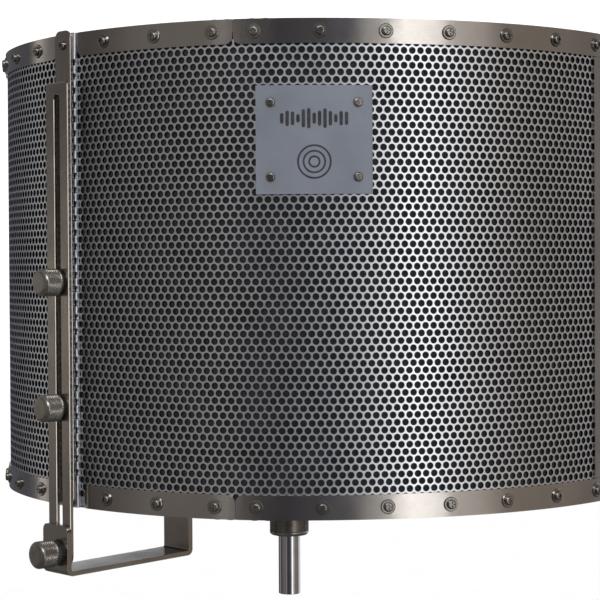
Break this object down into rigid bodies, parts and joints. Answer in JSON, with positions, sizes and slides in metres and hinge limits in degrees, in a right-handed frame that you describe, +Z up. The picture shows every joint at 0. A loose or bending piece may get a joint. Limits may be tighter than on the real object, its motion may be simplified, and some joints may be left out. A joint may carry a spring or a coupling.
{
  "type": "microphone reflection filter",
  "caption": "Stand-mounted acoustic shield: curved perforated steel shell with foam lining, riveted edge trim, slotted height bar, cranked arm and knurled clamping knobs.",
  "frame": {"origin": "on the axis of the stand tube, at its lower end", "axes": "+Z up along the stand axis, +Y towards the back of the shield where the bar and knobs are, open side towards -Y"},
  "size_m": [0.4642, 0.303, 0.3924],
  "materials": {
    "perforated_steel": "satin brushed",
    "trim_steel": "polished nickel",
    "bracket_steel": "satin nickel plate",
    "knob_steel": "knurled nickel plate",
    "screw_steel": "polished",
    "tube_chrome": "bright chrome",
    "badge_aluminium": "satin anodised",
    "foam": "open-cell foam, matt",
    "washer_black": "matt"
  },
  "bodies": {
    "stand": {"stand_tube": "tube_chrome"},
    "adapter": {"stand_adapter": "knob_steel", "upper_thrust_washer": "washer_black", "lower_thrust_washer": "washer_black"},
    "lock_nut": {"lock_nut": "knob_steel"},
    "arm": {"support_arm": "bracket_steel", "lower_bolt": "screw_steel", "lower_washer": "washer_black"},
    "lower_knob": {"lower_knob": "knob_steel"},
    "bar": {"slotted_bar": "bracket_steel"},
    "shield": {"perforated_sheet_left": "perforated_steel", "perforated_sheet_right": "perforated_steel", "centre_spine": "perforated_steel", "foam_pad": "foam", "mount_strap": "bracket_steel", "badge_plate": "badge_aluminium", "badge_rivets": "screw_steel", "strap_screws": "screw_steel", "upper_stud": "screw_steel", "middle_stud": "screw_steel", "upper_spacer": "bracket_steel", "middle_spacer": "bracket_steel", "upper_washer": "washer_black", "middle_washer": "washer_black", "top_band_screws": "screw_steel", "bottom_band_screws": "screw_steel", "top_cup_washers": "screw_steel", "bottom_cup_washers": "screw_steel", "top_flange_screws": "screw_steel", "bottom_flange_screws": "screw_steel", "end_trim_left": "trim_steel", "end_trim_right": "trim_steel", "top_centre_band_left": "trim_steel", "top_wing_band_left": "trim_steel", "top_splice_plate_left": "bracket_steel", "bottom_centre_band_left": "trim_steel", "bottom_wing_band_left": "trim_steel", "bottom_splice_plate_left": "bracket_steel", "top_centre_band_right": "trim_steel", "top_wing_band_right": "trim_steel", "top_splice_plate_right": "bracket_steel", "bottom_centre_band_right": "trim_steel", "bottom_wing_band_right": "trim_steel", "bottom_splice_plate_right": "bracket_steel"},
    "upper_knob": {"upper_knob": "knob_steel"},
    "middle_knob": {"middle_knob": "knob_steel"}
  },
  "joints": [
    {"name": "lock_nut_spin", "type": "hinge", "parent": "adapter", "child": "lock_nut", "pos_m": [0, 0, 0.08], "axis": [0, 0, 1], "continuous": true},
    {"name": "stand_swivel", "type": "hinge", "parent": "stand", "child": "adapter", "pos_m": [0, 0, 0.052], "axis": [0, 0, 1], "continuous": true},
    {"name": "arm_reach", "type": "slide", "parent": "adapter", "child": "arm", "axis": [0, 1, 0], "range_m": [-0.029, 0.029]},
    {"name": "lower_knob_spin", "type": "hinge", "parent": "arm", "child": "lower_knob", "pos_m": [0, 0.211, 0.0525], "axis": [0, 1, 0], "continuous": true},
    {"name": "bar_tilt", "type": "hinge", "parent": "arm", "child": "bar", "pos_m": [0, 0.2013, 0.0525], "axis": [0, 1, 0], "range_deg": [-15, 15]},
    {"name": "shield_height", "type": "slide", "parent": "bar", "child": "shield", "axis": [0, 0, 1], "range_m": [-0.02, 0.118]},
    {"name": "upper_knob_spin", "type": "hinge", "parent": "shield", "child": "upper_knob", "pos_m": [0, 0.211, 0.2287], "axis": [0, 1, 0], "continuous": true},
    {"name": "middle_knob_spin", "type": "hinge", "parent": "shield", "child": "middle_knob", "pos_m": [0, 0.211, 0.1471], "axis": [0, 1, 0], "continuous": true}
  ]
}
